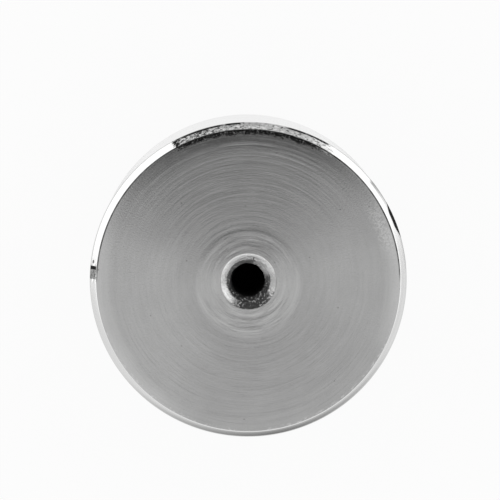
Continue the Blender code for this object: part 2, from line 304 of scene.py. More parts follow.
class Turned:
    """Place on a turned piece, as sockets: height and radius in millimetres, and angle in degrees."""

    def __init__(self, graph):
        self.graph = graph
        self.place = graph.node("ShaderNodeTexCoord").outputs["Object"]
        x, y, z = graph.apart(self.place)
        self.height = graph.times(z, 1 / MM)
        self.radius = graph.times(graph.math("SQRT", graph.scaled(y, y, graph.times(x, x))), 1 / MM)
        turn = graph.math("ARCTAN2", y, x)
        self.angle = graph.times(turn, 180 / math.pi)
        self.cosine = graph.math("COSINE", turn)
        self.sine = graph.math("SINE", turn)
        self.tangent = graph.node("ShaderNodeTangent", direction_type="RADIAL", axis="Z").outputs[0]

    def rings(self, width, length, detail=2.0, roughness=0.6, offset=0.0, across=None):
        """Noise drawn out round the axis. Its features are width mm wide and about length degrees long."""
        graph = self.graph
        reach = NOISE_UNIT / length
        inputs = {
            "X": graph.scaled(self.radius if across is None else across, 1 / width, offset),
            "Y": graph.times(self.cosine, reach),
            "Z": graph.times(self.sine, reach),
        }
        return graph.noise(graph.node("ShaderNodeCombineXYZ", inputs).outputs[0], 1.0, detail, roughness)

    def arc(self, first, last, soft):
        return self.graph.window(self.angle, first, last, soft)

    def band(self, inner, outer, soft):
        return self.graph.window(self.radius, inner, outer, soft)


def torn_sector_and_shade(turned, fleck):
    """The torn sector on the +Y side: its roll, pitted chamfer, foot and left end, and the dark edge line.

    The torn metal is painted dark as its shade, and the edge line is painted shade on the edge's upper half.
    """
    graph = turned.graph
    ragged = turned.rings(0.12, 1.2, detail=3.0)
    angle = graph.plus(turned.angle, graph.linear(ragged, 0.25, 0.75, -1.6, 1.6))
    # Painted shade: the marks across this arc paint the torn metal dark.
    torn_arc = graph.window(angle, 59.5, 118.0, 0.8)
    uneven = turned.rings(2.0, 3.0, detail=3.0, offset=7.0)
    streak = turned.rings(0.1, 2.4, detail=3.0, roughness=0.75, offset=3.0)
    frayed = graph.scaled(graph.less(fleck, 0.5), 1.5, graph.spread(uneven, 18.3, 18.68))
    lump = graph.noise(turned.place, 3000.0, detail=4.0, roughness=0.8)
    broken = graph.most(turned.arc(88.0, 98.0, 4.0), turned.arc(60.0, 74.0, 4.0), 0.45)
    roll = graph.times(
        torn_arc,
        graph.smooth(graph.scaled(graph.smooth(turned.angle, 60.0, 70.0), 0.5, fleck), 0.5, 0.58),
        graph.smooth(graph.less(turned.radius, frayed), -0.1, 0.1),
        graph.smooth(turned.radius, 19.24, 19.1),
        graph.smooth(streak, 0.68, 0.6, 0.4, 1.0),
        graph.less(1.0, graph.times(graph.smooth(lump, 0.55, 0.61), broken)),
    )
    heavy = graph.smooth(turned.angle, 94.0, 104.0, 0.56, 0.5)
    scored = turned.rings(0.17, 1.3, detail=3.0, roughness=0.85, offset=21.0)
    pitted = graph.smooth(graph.less(scored, heavy), -0.01, 0.025, 0.12, 0.94)
    chamfer = graph.times(torn_arc, turned.band(19.16, 19.97, 0.04), pitted)
    long_wave = graph.smooth(turned.rings(4.0, 9.0, detail=1.0, offset=5.0), 0.46, 0.54)
    foot = graph.times(
        torn_arc,
        turned.band(19.76, 19.96, 0.05),
        graph.most(turned.arc(99.0, 118.0, 3.0), turned.arc(60.0, 76.0, 3.0), long_wave),
        graph.smooth(streak, 0.68, 0.58),
    )
    left_end = graph.times(graph.window(angle, 116.6, 118.6, 0.5), turned.band(18.95, 19.9, 0.1))
    # Painted shade: a dark line on the upper half of the back's edge.
    upper_half = graph.smooth(turned.sine, -0.02, 0.08)
    rim_painted_light = graph.times(upper_half, turned.band(18.97, 19.15, 0.07), graph.spread(uneven, 0.6, 1.0))
    return graph.most(roll, chamfer, foot, left_end, rim_painted_light)


def scuffs_and_painted_reflection(turned, fleck):
    """On the right, a painted dark reflection: a black arc in a faint longer one.

    On the left, the scuffed patch and the dash.
    """
    graph = turned.graph
    angle = turned.angle
    # Painted dark reflection at the right: the black arc, and the faint longer arc round it.
    width = graph.times(graph.smooth(angle, 14.0, 21.0), graph.smooth(angle, 31.5, 25.0))
    inner_limit = graph.between(width, 20.05, 19.62)
    right = graph.smooth(graph.less(turned.radius, inner_limit), -0.05, 0.05)
    faint = graph.times(
        graph.smooth(angle, 40.5, 38.0),
        graph.smooth(angle, 28.0, 40.0, 0.2, 0.55),
        graph.smooth(angle, 2.0, 8.0),
        turned.band(19.68, 20.1, 0.2),
    )
    patch = turned.band(19.2, 19.95, 0.08)
    black = graph.times(turned.arc(174.3, 175.7, 0.3), patch)
    grey = graph.times(turned.arc(175.7, 179.2, 0.3), patch, graph.smooth(fleck, 0.35, 0.6, 0.35, 0.9))
    dash = graph.times(turned.arc(172.2, 173.4, 0.4), turned.band(19.55, 19.75, 0.1), 0.8)
    return graph.most(right, faint, black, grey, dash)


def edge_marks_and_painted_shade(turned):
    """Dark marks round the back's edge, which end at a frayed line on the side.

    They are partly torn and scuffed metal, and partly painted shade and a painted dark reflection.
    """
    graph = turned.graph
    fleck = turned.rings(0.07, 0.8, detail=3.0, roughness=0.8, offset=11.0)
    # The marks hold painted shade and a painted dark reflection as well as torn and scuffed metal.
    marks = graph.most(torn_sector_and_shade(turned, fleck), scuffs_and_painted_reflection(turned, fleck))
    above_line = graph.less(turned.height, graph.spread(fleck, 18.78, 19.08))
    return graph.times(marks, graph.smooth(above_line, -0.04, 0.04))


def wear_and_painted_light(turned):
    """How much brighter or duller the back is: rings round the hole, a mottled patch and pits.

    It also holds painted light: brighter round the hole towards -Y, painted highlights at the sides and in
    spots along the -Y edge, and painted shade near the edge at the top.
    """
    graph = turned.graph
    radius, sine, arc = turned.radius, turned.sine, turned.arc
    strength = graph.smooth(graph.math("ABSOLUTE", sine), 0.2, 0.9, 0.45, 1.35)
    ringed = graph.times(graph.spread(turned.rings(0.3, 35.0, offset=15.0), -0.13, 0.13), strength)
    # Painted highlight inside the step round the hole, brighter towards -Y, with rings there.
    rings_and_painted_sheen = graph.plus(graph.times(graph.smooth(sine, 0.9, -0.4), 0.16), ringed)
    centre = graph.times(graph.smooth(graph.scaled(sine, 0.28, radius), 6.9, 6.3), rings_and_painted_sheen)
    # Painted highlights at the sides: near the outer edge, and more faintly across the middle, most on the
    # left.
    sides = graph.most(arc(-22.0, 22.0, 24.0), arc(158.0, 200.0, 20.0), arc(-200.0, -120.0, 30.0))
    rim_painted_light = graph.times(graph.smooth(radius, 16.6, 19.0), sides, 0.26)
    leftwards = graph.smooth(turned.cosine, 0.5, -0.5, 0.05, 0.1)
    middle = graph.times(turned.band(9.0, 17.5, 4.0), sides, leftwards)
    # Painted shade near the outer edge at the top.
    top = graph.times(graph.smooth(radius, 15.8, 18.4), graph.smooth(sine, 0.5, 1.0), -0.26)
    # Painted highlights in spots along the edge on the -Y side.
    glint_spots = graph.smooth(turned.rings(0.35, 1.6, detail=3.0, roughness=0.7, offset=31.0), 0.52, 0.62)
    painted_edge_glints = graph.times(glint_spots, graph.smooth(radius, 18.7, 18.95), graph.smooth(sine, -0.2, -0.5), 0.3)
    mottle = graph.smooth(graph.noise(turned.place, 2600.0, detail=3.0, roughness=0.7), 0.42, 0.6)
    patch = graph.times(arc(13.0, 31.0, 10.0), turned.band(17.2, 18.8, 0.8), mottle, 0.26)
    inputs = {"Vector": turned.place, "Scale": 260.0}
    cells = graph.node("ShaderNodeTexVoronoi", inputs, voronoi_dimensions="2D").outputs
    chosen = graph.smooth(graph.apart(cells["Color"])[0], 0.78, 0.8)
    pits = graph.times(graph.smooth(cells["Distance"], 0.03, 0.012), chosen, -0.4)
    return graph.plus(centre, middle, rim_painted_light, top, pits, painted_edge_glints, patch)


def face_nickel(colour):
    """Faced and plated back: broken rings from the tool, fine grain and the marks of its edge.

    Its colour also holds painted highlights and painted shade.
    """
    made, graph, surface = new_material("faced_nickel")
    turned = Turned(graph)
    fine = turned.rings(0.12, 30.0, detail=3.0, roughness=0.8)
    cut_lines = graph.smooth(turned.rings(0.16, 22.0, offset=9.0), 0.57, 0.66)
    broad = turned.rings(0.6, 25.0, detail=3.0, offset=4.0)
    cloud = graph.noise(turned.place, 260.0, detail=4.0)
    grain = graph.noise(turned.place, 5200.0, roughness=0.7)
    speckle = graph.noise(turned.place, 4300.0, roughness=0.8)
    tone = graph.scaled(broad, 0.5, graph.times(cloud, 0.5))
    tone = graph.scaled(graph.less(speckle, 0.5), 0.42, tone)
    tone = graph.scaled(graph.less(cut_lines, 0.2), -0.09, tone)
    # Random tone, with the painted highlights and painted shade of the back.
    tone_and_painted_light = graph.plus(graph.spread(tone, 0.91, 1.03), wear_and_painted_light(turned))
    tint = graph.mix(graph.linear(tone_and_painted_light, 0.6, 1.4), shade(colour, 0.6), shade(colour, 1.4))
    marks = edge_marks_and_painted_shade(turned)
    ringed = graph.bump(graph.scaled(cut_lines, -0.28, fine), 4.5 * MICRON)
    graph.fill(surface, {
        "Base Color": graph.mix(marks, tint, shade(colour, MARK_SHADE)),
        "Metallic": 1.0,
        "Anisotropic": 0.8,
        "Anisotropic Rotation": 0.25,
        "Roughness": graph.between(marks, graph.spread(fine, 0.1, 0.15), MARK_ROUGHNESS),
        "Tangent": turned.tangent,
        "Normal": graph.bump(grain, 4.0 * MICRON, Normal=ringed),
    })
    return made


def wall_nickel(colour):
    """Bright plating on the side and the chamfers, with faint turning lines and the marks of the edge.

    Those marks are partly painted shade and a painted dark reflection.
    """
    made, graph, surface = new_material("bright_nickel")
    turned = Turned(graph)
    fine = turned.rings(0.12, 150.0, detail=3.0, roughness=0.7, across=turned.height)
    broad = turned.rings(0.4, 300.0, detail=3.0, offset=4.0, across=turned.height)
    tint = graph.mix(graph.smooth(broad, 0.3, 0.7), shade(colour, 0.93), shade(colour, 1.03))
    marks = edge_marks_and_painted_shade(turned)
    graph.fill(surface, {
        "Base Color": graph.mix(marks, tint, shade(colour, MARK_SHADE)),
        "Metallic": 1.0,
        "Anisotropic": 0.4,
        "Roughness": graph.between(marks, graph.spread(fine, 0.08, 0.13), MARK_ROUGHNESS),
        "Tangent": turned.tangent,
        "Normal": graph.bump(fine, 1.6 * MICRON),
    })
    return made


def thread_nickel(colour):
    """Countersink and thread: painted light on the smooth countersink, torn below and towards -Y.

    Deep in the hole, painted shade makes it near black.
    """
    made, graph, surface = new_material("cut_nickel")
    turned = Turned(graph)
    radius, sine, cosine = turned.radius, turned.sine, turned.cosine
    specks = graph.noise(turned.place, 3600.0, detail=4.0, roughness=0.7)
    grit = graph.noise(turned.place, 8000.0, roughness=0.8)
    chatter = turned.rings(0.12, 3.0, detail=3.0, roughness=0.7)

    worn_to = math.radians(285)
    facing = graph.scaled(sine, math.sin(worn_to), graph.times(cosine, math.cos(worn_to)))
    low_side = graph.smooth(graph.plus(facing, graph.spread(specks, 0.22, -0.22)), 0.5, 0.85)
    thinned = graph.times(turned.arc(18.0, 72.0, 20.0), 0.75)
    reach = graph.plus(radius, graph.spread(chatter, -0.12, 0.12))
    lead_in = graph.times(graph.smooth(reach, 2.86, 2.68), graph.less(1.0, thinned))
    notch = graph.times(turned.arc(75.0, 79.0, 2.0), graph.smooth(radius, 3.15, 3.05))
    torn_share = graph.most(lead_in, graph.times(low_side, 0.95), notch)

    # In the torn parts: bright random specks, and painted light that is brighter towards +Y.
    scored = graph.linear(graph.plus(sine, graph.spread(grit, -0.9, 0.9)), -0.5, 0.9, 0.0, 0.42)
    specks_and_painted_glint = graph.most(graph.smooth(specks, 0.54, 0.63), scored)
    torn_tint = graph.mix(specks_and_painted_glint, shade(colour, 0.05), shade(colour, 0.65))
    # Painted light on the smooth countersink: brighter at the top, darker at the right, with painted
    # highlights at the lower left and the lower right.
    painted_countersink_light = graph.plus(
        graph.scaled(cosine, -0.14, graph.smooth(sine, 0.0, 0.6, 0.15, 0.75)),
        graph.times(turned.arc(-168.0, -128.0, 25.0), 0.35),
        graph.times(turned.arc(-50.0, -16.0, 16.0), 0.4),
        graph.spread(chatter, -0.16, 0.16),
        graph.spread(grit, -0.4, 0.4),
    )
    painted_countersink_tint = graph.mix(graph.linear(painted_countersink_light, 0.0, 1.0), shade(colour, 0.5), shade(colour, 1.3))
    tint = graph.mix(torn_share, painted_countersink_tint, torn_tint)

    # Painted shade: near black deep in the hole, up to a height that lies higher on the -Y side.
    seen = graph.scaled(graph.math("MINIMUM", sine, 0.0), 0.05, turned.height)
    depth = graph.smooth(seen, 18.45, 18.9)
    graph.fill(surface, {
        "Base Color": graph.mix(depth, shade(colour, 0.03), tint),
        "Metallic": 1.0,
        "Roughness": graph.between(depth, 0.85, graph.between(torn_share, 0.3, 0.42)),
        "Normal": graph.bump(graph.times(specks, graph.between(torn_share, 0.3, 1.0)), 16.0 * MICRON),
    })
    return made


def pole_nickel(colour):
    """Pole faces: fine turned and plated."""
    made, graph, surface = new_material("pole_nickel")
    turned = Turned(graph)
    fine = turned.rings(0.12, 80.0, detail=3.0, roughness=0.8)
    broad = turned.rings(0.5, 90.0, detail=3.0, offset=4.0)
    cloud = graph.noise(turned.place, 300.0, detail=4.0)
    tone = graph.scaled(broad, 0.7, graph.times(cloud, 0.3))
    graph.fill(surface, {
        "Base Color": graph.mix(graph.smooth(tone, 0.35, 0.65), shade(colour, 0.93), shade(colour, 1.03)),
        "Metallic": 1.0,
        "Anisotropic": 0.7,
        "Anisotropic Rotation": 0.25,
        "Roughness": graph.spread(fine, 0.12, 0.2),
        "Tangent": turned.tangent,
        "Normal": graph.bump(fine, 4.0 * MICRON),
    })
    return made


def ring_angles(segments):
    return np.arange(segments) * 2 * math.pi / segments


class Profile:
    """Rings of a turned piece, from one end of its outline to the other, as a mesh with faces in zones."""

    def __init__(self):
        self.points = []
        self.faces = []
        self.zones = []
        self.last = None

    def ring(self, radius, height, zone, segments):
        """Adds a ring. Radius and height are one number or one a segment; zone is its slot up to the next."""
        angles = ring_angles(segments)
        radius = np.broadcast_to(radius, segments)
        height = np.broadcast_to(height, segments)
        start = len(self.points)
        self.points += np.stack([radius * np.cos(angles), radius * np.sin(angles), height], axis=-1).tolist()
        if self.last is not None:
            self.join(self.last[0], self.last[1], start, segments, self.last[2])
        self.last = (start, segments, zone)

    def join(self, start, count, next_start, next_count, zone):
        """Faces between two rings, of which one may have a whole number of times the other's segments."""
        coarse = min(count, next_count)

        def stretch(first, total, i):
            return [first + j % total for j in range(i * total // coarse, (i + 1) * total // coarse + 1)]

        for i in range(coarse):
            here = stretch(start, count, i)
            self.faces.append([here[0], *stretch(next_start, next_count, i), *reversed(here[1:])])
            self.zones.append(zone)

    def tip(self, height, zone, last):
        """Closes the first or the last ring with a point on the axis."""
        start, segments, _ = self.last
        self.points.append([0.0, 0.0, height])
        centre = len(self.points) - 1
        for i in range(segments):
            edge = [start + i, start + (i + 1) % segments]
            self.faces.append([centre, *(reversed(edge) if last else edge)])
            self.zones.append(zone)

    def line(self, start, end, steps, zone, segments):
        """Rings from start up to, but not at, end."""
        for i in range(steps):
            share = i / steps
            radius = start[0] + (end[0] - start[0]) * share
            height = start[1] + (end[1] - start[1]) * share
            self.ring(radius, height, zone, segments)

    def mesh(self, name):
        mesh = bpy.data.meshes.new(name)
        mesh.from_pydata(self.points, [], self.faces)
        mesh.polygons.foreach_set("material_index", self.zones)
        return mesh


def new_piece(name, mesh, slot, *nodes):
    """Adds a piece that stands for the given CAD nodes and hides them. The slot is not used."""
    mesh.shade_smooth()
    mesh.set_sharp_from_angle(angle=SHARP_ANGLE)
    piece = bpy.data.objects.new(name, mesh)
    bpy.context.scene.collection.objects.link(piece)
    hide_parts(*nodes)
    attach(piece, "root")


def smooth_step(value, low, high):
    share = np.clip((value - low) / (high - low), 0, 1)
    return share * share * (3 - 2 * share)


def sector(angles, first, last, soft):
    """1 between two angles in degrees, and 0 outside, with soft ends."""
    degrees = np.degrees(angles)
    rise = smooth_step(degrees, first - soft / 2, first + soft / 2)
    return rise * (1 - smooth_step(degrees, last - soft / 2, last + soft / 2))


def wandering(rng, angles, waves):
    """Smooth random curve round the axis, about 1 high."""
    total = np.zeros_like(angles)
    for wave in range(1, waves + 1):
        total += rng.normal() * np.cos(wave * angles + rng.uniform(0, 2 * math.pi)) / math.sqrt(waves)
    return total


def torn(rng, rows, segments, reach):
    """Rough surface of rows by segments, about 1 high, smoothed over that many segments to each side."""
    rough = rng.normal(size=(rows, segments))
    total = np.zeros_like(rough)
    for shift in range(-reach, reach + 1):
        total += np.roll(rough, shift, axis=1)
    return total / math.sqrt(2 * reach + 1)


def add_bore(profile, sizes, rng):
    """The drilled point, the plain end of the hole and the tapped thread, from the bottom up."""
    drill = sizes.tap_drill / 2
    mouth = sizes.countersink / 2
    bottom = POT_HEIGHT - HOLE_DEPTH
    point = bottom - drill / math.tan(DRILL_POINT)
    thread_bottom = bottom + UNTAPPED_DEPTH
    profile.ring(0.05 * MM, point, CUT_THREAD, BORE_SEGMENTS)
    profile.tip(point, CUT_THREAD, last=False)
    profile.line((drill, bottom), (drill, thread_bottom), 3, CUT_THREAD, BORE_SEGMENTS)
    lead_in = POT_HEIGHT - (mouth - drill) / CONE_FLARE - 0.15 * MM
    rows = int((POT_HEIGHT - thread_bottom) / sizes.thread_pitch * ROWS_PER_TURN)
    for i in range(rows):
        height = thread_bottom + (POT_HEIGHT - thread_bottom) * i / rows
        segments = BORE_SEGMENTS if height < lead_in else FACE_SEGMENTS
        angles = ring_angles(segments)
        turn = height / sizes.thread_pitch - angles / (2 * math.pi)
        wave = np.abs((turn % 1.0) - 0.5) * 2
        flank = np.clip((wave - 0.25) / 0.62, 0, 1)
        runout = min(1.0, (height - thread_bottom) / sizes.thread_pitch)
        thread = drill + (sizes.thread_diameter / 2 - drill) * flank * runout
        ragged = np.zeros(segments)
        if height >= lead_in:
            low_side = sector(angles, 215, 335, 40) + 0.25
            ragged = 0.035 * MM * low_side * torn(rng, 1, segments, 1)[0]
            ragged *= 1 - smooth_step(height, POT_HEIGHT - 0.5 * MM, POT_HEIGHT - 0.1 * MM) * 0.7
        cone = mouth - (POT_HEIGHT - height) * CONE_FLARE - 0.02 * MM
        profile.ring(np.maximum(thread, cone) + ragged, height, CUT_THREAD, segments)
    profile.ring(mouth - 0.012 * MM, POT_HEIGHT - 0.012 * MM, CUT_THREAD, FACE_SEGMENTS)


def face_lift(sizes, rng, radii):
    """Heights of the rings that the facing tool left, one row a radius: broken arcs of three widths."""
    angles = ring_angles(FACE_SEGMENTS)
    count = len(radii)
    lift = np.zeros((count, FACE_SEGMENTS))
    for width, height in TOOL_ARCS:
        own = np.zeros((count + 2 * width, FACE_SEGMENTS))
        for row in own:
            row += 0.45 * rng.normal()
            for _ in range(5):
                middle = rng.uniform(0, 2 * math.pi)
                reach = rng.uniform(0.2, 1.1)
                apart = np.abs((angles - middle + math.pi) % (2 * math.pi) - math.pi)
                row += rng.normal() * np.exp(-((apart / reach) ** 2))
        weights = np.hanning(width + 2)[1:-1]
        for i in range(count):
            lift[i] += height * (weights[:, None] * own[i:i + width]).sum(axis=0) / weights.sum()
    inner = 1.0 + 1.6 * np.exp(-((radii / (7.0 * MM)) ** 6))
    outer = 1.0 + 0.5 * smooth_step(radii, 14.0 * MM, 18.0 * MM)
    return sizes.groove_height * lift * (inner * outer)[:, None]


def tool_marks(radii):
    """Marks that stand out from the rings: a low step off the centre, two close grooves and short grooves."""
    angles = ring_angles(FACE_SEGMENTS)
    across = radii[:, None] * np.cos(angles)
    along = radii[:, None] * np.sin(angles)
    off_centre = np.hypot(across - 0.03 * MM, along + 0.28 * MM)
    marks = -FACE_STEP * smooth_step(off_centre, 6.6 * MM, 7.0 * MM)
    for radius, depth in GROOVES:
        marks -= depth * MICRON * np.exp(-(((radii[:, None] - radius * MM) / (0.14 * MM)) ** 2))
    for radius, first, last, depth in SHORT_GROOVES:
        shape = np.exp(-(((radii - radius * MM) / (0.12 * MM)) ** 2))
        marks -= depth * MICRON * shape[:, None] * sector(angles, first, last, 6)
    return marks


def edge_drop(sizes, radius):
    """How far the back has fallen away at a radius, before the chamfer."""
    face = POT_RADIUS - sizes.back_chamfer
    reach = 3.64 * MM
    share = np.clip((radius - face + reach) / reach, 0, None)
    roll = np.clip((radius - face + sizes.edge_roll) / sizes.edge_roll, 0, None)
    return 0.055 * MM * share**4 + 0.012 * MM * roll**3


def add_back(profile, sizes, rng):
    """The faced back, up to the strip that belongs to its edge."""
    inner = sizes.countersink / 2
    outer = POT_RADIUS - sizes.back_chamfer - 0.6 * MM
    count = int((outer - inner) / sizes.groove_pitch)
    radii = inner + (outer - inner) * (np.arange(count) + 0.3) / count
    lift = face_lift(sizes, rng, radii) + tool_marks(radii)
    heights = POT_HEIGHT - FACE_ROOM + np.clip(lift, -2 * FACE_ROOM, FACE_ROOM)
    for radius, height in zip(radii, heights):
        profile.ring(radius, height - edge_drop(sizes, radius), TURNED_FACE, FACE_SEGMENTS)


def add_edge(profile, sizes, rng):
    """Edge of the back, torn at the +Y side, then the chamfer and its foot. Gives the side's top."""
    angles = ring_angles(EDGE_SEGMENTS)
    face = POT_RADIUS - sizes.back_chamfer
    wander = 2.0 * wandering(rng, angles, 40)
    burr = sector(angles + np.radians(wander), 59, 117, 3) + 0.8 * sector(angles, 174, 180, 1.5)
    rows = STRIP_ROWS + len(ROUND_TURNS) + CHAMFER_ROWS + len(FOOT_RINGS)
    rough_rows = zip(torn(rng, rows, EDGE_SEGMENTS, 1), torn(rng, rows, EDGE_SEGMENTS, 0))
    top = POT_HEIGHT - FACE_ROOM - FACE_STEP
    low = top - edge_drop(sizes, face)
    for i in range(STRIP_ROWS):
        rough, fine = next(rough_rows)
        radius = face - 0.55 * MM + 0.55 * MM * i / STRIP_ROWS
        tear = burr * smooth_step(radius, face - 0.5 * MM, face - 0.2 * MM)
        lift = 0.012 * MM * tear * (rough + 0.6 * fine)
        height = np.minimum(top - edge_drop(sizes, radius) + lift, POT_HEIGHT)
        profile.ring(radius, height, TURNED_FACE, EDGE_SEGMENTS)

    def dented(radius, height, depth):
        rough, fine = next(rough_rows)
        dent = depth * burr * (rough + 0.7 * fine)
        profile.ring(radius + dent, height + dent, PLATED_WALL, EDGE_SEGMENTS)

    foot_radius = POT_RADIUS - 0.05 * MM
    foot = (foot_radius, low - (foot_radius - face) * math.tan(math.radians(44)))
    arc = sizes.edge_round
    centre = (face - arc * math.tan(math.radians(19.5)) - arc * math.sin(math.radians(5)), low - arc * 0.996)
    for turn in ROUND_TURNS:
        height = centre[1] + arc * math.cos(math.radians(turn)) + 6 * MICRON
        dented(centre[0] + arc * math.sin(math.radians(turn)), height, 0.012 * MM)
    bulge = 0.014 * MM * np.clip(-np.sin(angles), 0, 1)
    for i in range(1, CHAMFER_ROWS + 1):
        share = i / (CHAMFER_ROWS + 1)
        height = low + (foot[1] - low) * share + 4 * bulge * share * (1 - share)
        dented(face + (foot[0] - face) * share, height, 0.014 * MM if i < 4 else 0.007 * MM)
    for inset, fall in FOOT_RINGS:
        rough, _ = next(rough_rows)
        dent = np.clip(0.006 * MM * burr * rough, None, 0.004 * MM)
        profile.ring(POT_RADIUS - inset * MM + dent, foot[1] - fall * MM, PLATED_WALL, EDGE_SEGMENTS)
    return foot[1] - 0.15 * MM


def add_wall(profile, top, rng):
    """The side, with its turning lines, down to the small chamfer at the pole face."""
    angles = ring_angles(FACE_SEGMENTS)
    foot = 0.4 * MM
    rows = 34
    room = 3 * MICRON
    for i in range(rows):
        height = top + (foot - top) * i / rows
        wave = 0.7 * MICRON * (rng.normal() + 0.12 * wandering(rng, angles, 3))
        profile.ring(POT_RADIUS - room + np.clip(wave, -room, room), height, PLATED_WALL, FACE_SEGMENTS)
    profile.line((POT_RADIUS - 1 * MICRON, foot), (POT_RADIUS - foot, 0.0), 3, PLATED_WALL, FACE_SEGMENTS)


def add_poles(profile, sizes, rng):
    """The outer pole ring, the room for the coil and the centre pole."""
    chamber = POT_RADIUS - sizes.pot_wall
    pole = sizes.pole_diameter / 2
    mouth = 0.25 * MM
    roof = POT_HEIGHT - sizes.pot_floor
    angles = ring_angles(FACE_SEGMENTS)

    def ground(outer, inner, rows):
        for i in range(rows):
            wave = 0.3 * MICRON * (rng.normal() + wandering(rng, angles, 8))
            lift = 0.0 if i == 0 else np.clip(1 * MICRON + wave, 0, None)
            profile.ring(outer + (inner - outer) * i / rows, lift, POLE_FINISH, FACE_SEGMENTS)

    ground(POT_RADIUS - 0.4 * MM, chamber + mouth, 12)
    for start, end, steps in (
        ((chamber + mouth, 0.0), (chamber, mouth), 2),
        ((chamber, mouth), (chamber, roof), 3),
        ((chamber, roof), (pole, roof), 2),
        ((pole, roof), (pole, mouth), 3),
        ((pole, mouth), (pole - mouth, 0.0), 2),
    ):
        profile.line(start, end, steps, PLATED_WALL, FACE_SEGMENTS)
    ground(pole - mouth, 0.3 * MM, 26)
    profile.tip(1 * MICRON, POLE_FINISH, last=True)


def lead_hole_cutter(slots):
    """Round cutter for the lead exit on the -Y side, with the flare of the deburred edge."""
    profile = Profile()
    hole = 2.2 * MM
    first = POT_RADIUS - 3.6 * MM
    last = POT_RADIUS + 0.36 * MM
    profile.ring(0.1 * MM, first, PLATED_WALL, BORE_SEGMENTS)
    profile.tip(first, PLATED_WALL, last=True)
    for radius, height in (
        (hole, first),
        (hole, POT_RADIUS - 0.3 * MM),
        (hole + 0.02 * MM, POT_RADIUS - 0.26 * MM),
        (hole + 0.65 * MM, last),
        (0.1 * MM, last),
    ):
        profile.ring(radius, height, PLATED_WALL, BORE_SEGMENTS)
    profile.tip(last, PLATED_WALL, last=False)
    mesh = profile.mesh("lead_hole_cutter")
    for made in slots:
        mesh.materials.append(made)
    turned_off = Matrix.Rotation(math.radians(1.1), 4, "Z")
    outwards = Matrix.Rotation(math.radians(90), 4, "X")
    mesh.transform(Matrix.Translation((0, 0, LEAD_HEIGHT)) @ outwards @ turned_off)
    mesh.flip_normals()
    return mesh


def cut(mesh, cutter_mesh):
    """The first mesh with the second one taken away."""
    scene = bpy.context.scene.collection
    target = bpy.data.objects.new("blank", mesh)
    cutter = bpy.data.objects.new("cutter", cutter_mesh)
    scene.objects.link(target)
    scene.objects.link(cutter)
    step = target.modifiers.new("cut", "BOOLEAN")
    step.operation = "DIFFERENCE"
    step.solver = "EXACT"
    step.object = cutter
    graph = bpy.context.evaluated_depsgraph_get()
    result = bpy.data.meshes.new_from_object(target.evaluated_get(graph))
    bpy.data.objects.remove(target)
    bpy.data.objects.remove(cutter)
    return result


class MAGNET_OT_turned_pot(bpy.types.Operator):
    """Make the turned and plated pot with its tapped hole"""

    bl_idname = "magnet.turned_pot"
    bl_label = "Turned Pot"

    def execute(self, context):
        sizes = context.scene.magnet_pot
        nickel = context.scene.magnet_finishes.nickel
        rng = np.random.default_rng(5)
        profile = Profile()
        add_bore(profile, sizes, rng)
        add_back(profile, sizes, rng)
        wall_top = add_edge(profile, sizes, rng)
        add_wall(profile, wall_top, rng)
        add_poles(profile, sizes, rng)
        mesh = profile.mesh("turned_pot")
        slots = [make(nickel) for make in (face_nickel, wall_nickel, thread_nickel, pole_nickel)]
        for made in slots:
            mesh.materials.append(made)
        mesh = cut(mesh, lead_hole_cutter(slots))
        mesh.name = "turned_pot"
        new_piece("turned_pot", mesh, "nickel_plated_steel", "magnet_pot")
        return {"FINISHED"}


def plain_material(name, colour, roughness, grain, height):
    """Moulded or cast material with a fine grain and a slightly uneven colour."""
    made, graph, surface = new_material(name)
    place = graph.node("ShaderNodeTexCoord").outputs["Object"]
    fine = graph.noise(place, 1 / grain, detail=4.0)
    cloud = graph.noise(place, 220.0, detail=3.0)
    graph.fill(surface, {
        "Base Color": graph.mix(graph.smooth(cloud, 0.3, 0.7), shade(colour, 0.88), shade(colour, 1.12)),
        "Roughness": graph.spread(fine, roughness - 0.05, roughness + 0.05),
        "Normal": graph.bump(fine, height),
    })
    return made


def wound_wire(colour):
    """Enamelled wire in close turns: the turns show as fine ridges round the coil, with painted shade between
    them.
    """
    made, graph, surface = new_material("wire_enamel")
    turned = Turned(graph)
    waver = turned.rings(1.5, 40.0, across=turned.height)
    turn = graph.scaled(waver, 0.8, graph.times(turned.height, 1 / WIRE_PITCH))
    ridge = graph.math("ABSOLUTE", graph.math("SINE", graph.times(turn, math.pi)))
    # Painted shade between the turns, where the ridge is low.
    graph.fill(surface, {
        "Base Color": graph.mix(graph.smooth(ridge, 0.0, 0.5), shade(colour, 0.35), shade(colour, 1.1)),
        "Metallic": 0.6,
        "Roughness": graph.spread(waver, 0.24, 0.34),
        "Normal": graph.bump(ridge, 90 * MICRON),
    })
    return made


def lapped_tape(colour):
    """Film tape over the turns, with its lap, faint wrinkles and painted shade where it dips between the
    turns.
    """
    made, graph, surface = new_material("film_tape")
    turned = Turned(graph)
    wrinkle = turned.rings(2.2, 6.0, detail=4.0, roughness=0.65, across=turned.height)
    turn = graph.math("SINE", graph.times(turned.height, 2 * math.pi / WIRE_PITCH))
    # Painted shade where the tape dips between the turns.
    painted_dip_shade = graph.linear(turn, -1.0, 1.0, 0.82, 1.0)
    lap = graph.smooth(graph.scaled(wrinkle, 3.0, turned.angle), 41.0, 41.6)
    tone = graph.times(painted_dip_shade, graph.between(lap, 1.0, 0.86))
    relief = graph.scaled(turn, 0.06, graph.plus(wrinkle, lap))
    graph.fill(surface, {
        "Base Color": graph.mix(tone, shade(colour, 0.3), shade(colour, 1.05)),
        "Roughness": graph.spread(wrinkle, 0.16, 0.3),
        "Normal": graph.bump(relief, 60 * MICRON),
    })
    return made


def finish_node(name, made):
    """Gives a CAD node its material."""
    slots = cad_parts[name].data.materials
    slots.clear()
    slots.append(made)


